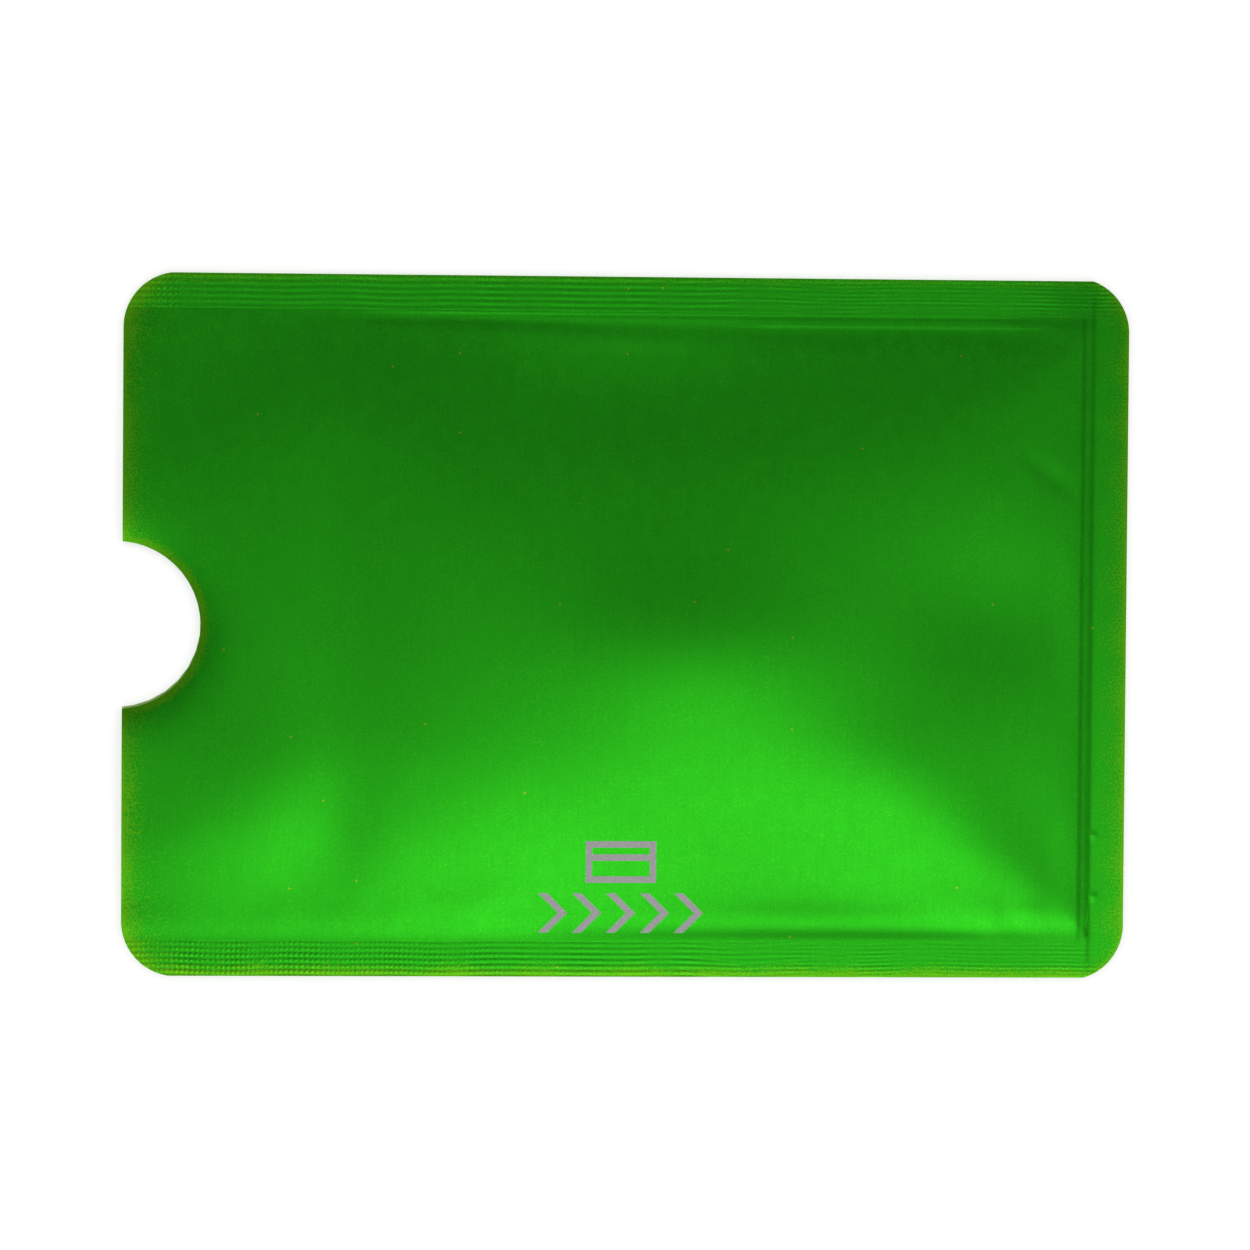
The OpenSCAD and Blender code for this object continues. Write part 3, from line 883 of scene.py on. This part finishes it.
# %% Softbox
def facing(back, roll=0.0):
    """Axes of a lamp or camera that looks along -back, with its own X level and then rolled."""
    level = Vector((0, 1, 0)).cross(back).normalized()
    upright = back.cross(level)
    right = math.cos(roll) * level + math.sin(roll) * upright
    return Matrix((right, back.cross(right), back)).transposed().to_4x4()


SOFTBOX_DISTANCE, SOFTBOX_GLOW = 3.0, 1.8
# In degrees: how far it leans along X and Y, and half of how wide and how long it looks from the sleeve
SOFTBOX_LEAN, SOFTBOX_SPREAD = (4.35, -20.2), (8.85, 15)

lean_x, lean_y = (math.tan(math.radians(angle)) for angle in SOFTBOX_LEAN)
softbox_data = bpy.data.lights.new("softbox", "AREA")
softbox_data.shape = "RECTANGLE"
softbox_data.size, softbox_data.size_y = (
    2 * SOFTBOX_DISTANCE * math.tan(math.radians(angle)) for angle in SOFTBOX_SPREAD)
softbox_data.energy = SOFTBOX_GLOW * math.pi * softbox_data.size * softbox_data.size_y
softbox = bpy.data.objects.new("softbox", softbox_data)
bpy.context.scene.collection.objects.link(softbox)
towards = Vector((lean_x, lean_y, 1)).normalized()
softbox.matrix_world = facing(towards)
softbox.location = SOFTBOX_DISTANCE * towards
softbox.visible_camera = False
print("softbox in metres:", round(softbox_data.size, 2), "x", round(softbox_data.size_y, 2))

# %% [markdown]
# The camera looks down on the sleeve, leaning by two or three degrees and turned by less than one, as in
# the photo.

# %% Camera
CAMERA_DISTANCE = 0.3993
CAMERA_AIM = Vector((-0.18, 0.23, 0.3)) * MM

lean_x, lean_y, roll = (math.radians(angle) for angle in (-2.84, 1.64, 0.43))
back = Vector((math.sin(lean_x), math.sin(lean_y), 0))
back.z = math.sqrt(1 - back.x ** 2 - back.y ** 2)
camera_data = bpy.data.cameras.new("camera")
camera_data.lens = 127
camera_data.sensor_width = 36
camera_data.clip_start = 0.01
camera_data.clip_end = 20
camera = bpy.data.objects.new("camera", camera_data)
bpy.context.scene.collection.objects.link(camera)
camera.matrix_world = facing(back, roll)
camera.location = CAMERA_AIM + CAMERA_DISTANCE * back
bpy.context.scene.camera = camera
bpy.context.scene.view_settings.view_transform = "Standard"
print("camera in metres:", [round(v, 3) for v in camera.location])
